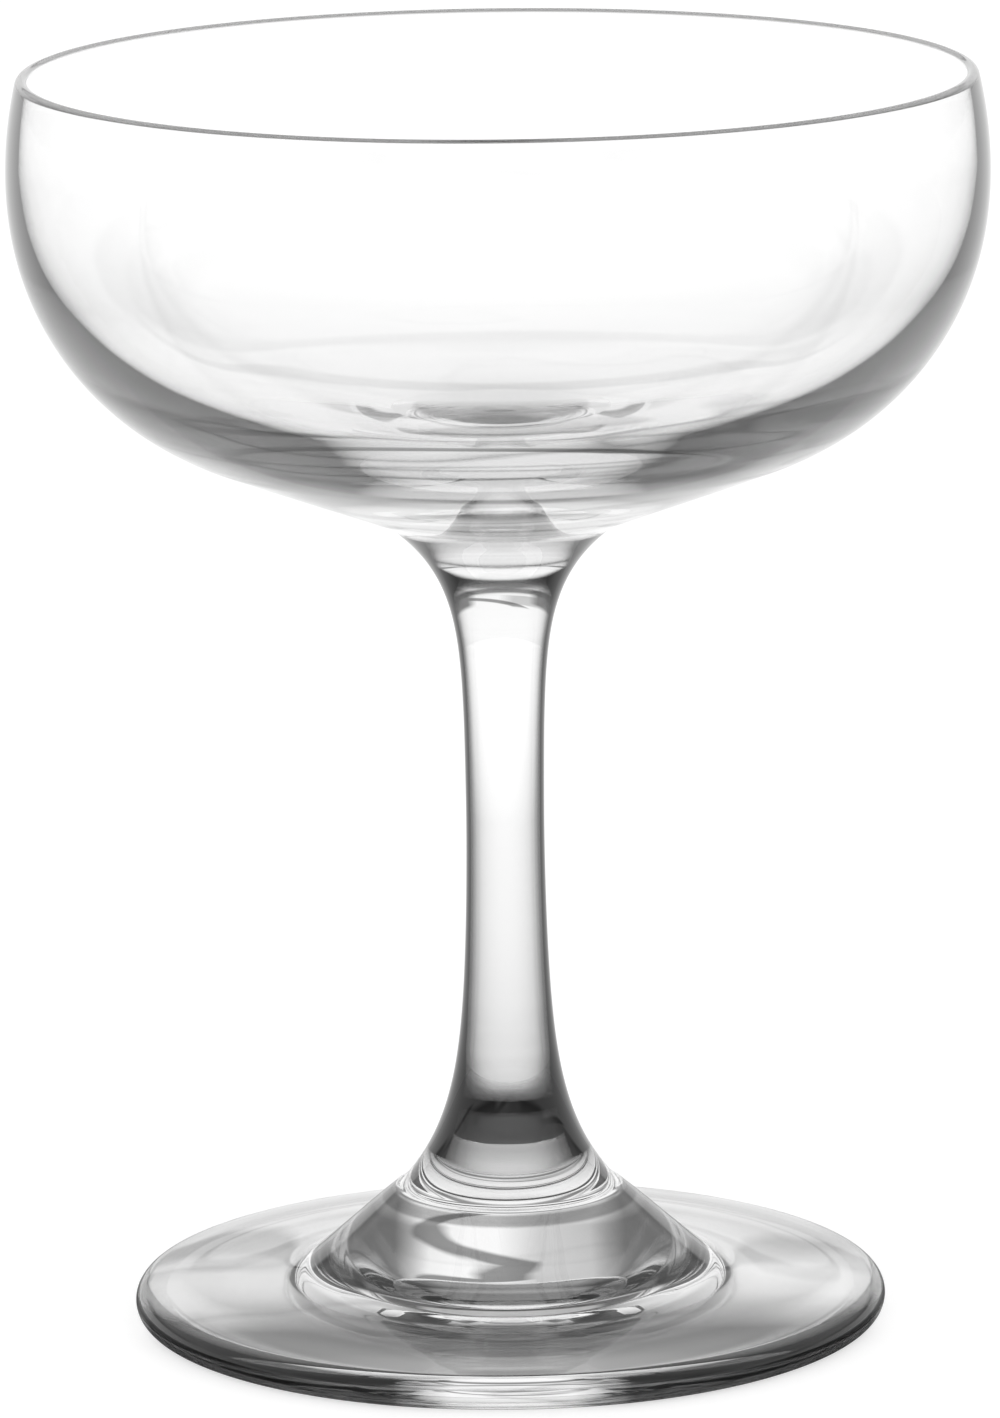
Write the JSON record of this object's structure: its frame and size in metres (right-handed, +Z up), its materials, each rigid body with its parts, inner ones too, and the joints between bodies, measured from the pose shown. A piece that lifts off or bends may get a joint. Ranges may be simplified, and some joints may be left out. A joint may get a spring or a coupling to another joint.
{
  "type": "coupe glass",
  "caption": "Stemmed coupe glass: a wide shallow bowl of thin clear glass on a waisted stem and a round foot.",
  "frame": {"origin": "centre of the resting ring under the foot, on the table", "axes": "+Z up the axis of the stem to the rim; the glass is round about Z, so X and Y are free"},
  "size_m": [0.0854, 0.0854, 0.111],
  "materials": {
    "bowl_glass": "clear, fire-polished, blown thin",
    "stem_glass": "clear, fire-polished, solid",
    "foot_glass": "clear, pressed and fire-polished"
  },
  "bodies": {
    "root": {"bowl": "bowl_glass", "stem": "stem_glass", "foot": "foot_glass"}
  },
  "joints": []
}
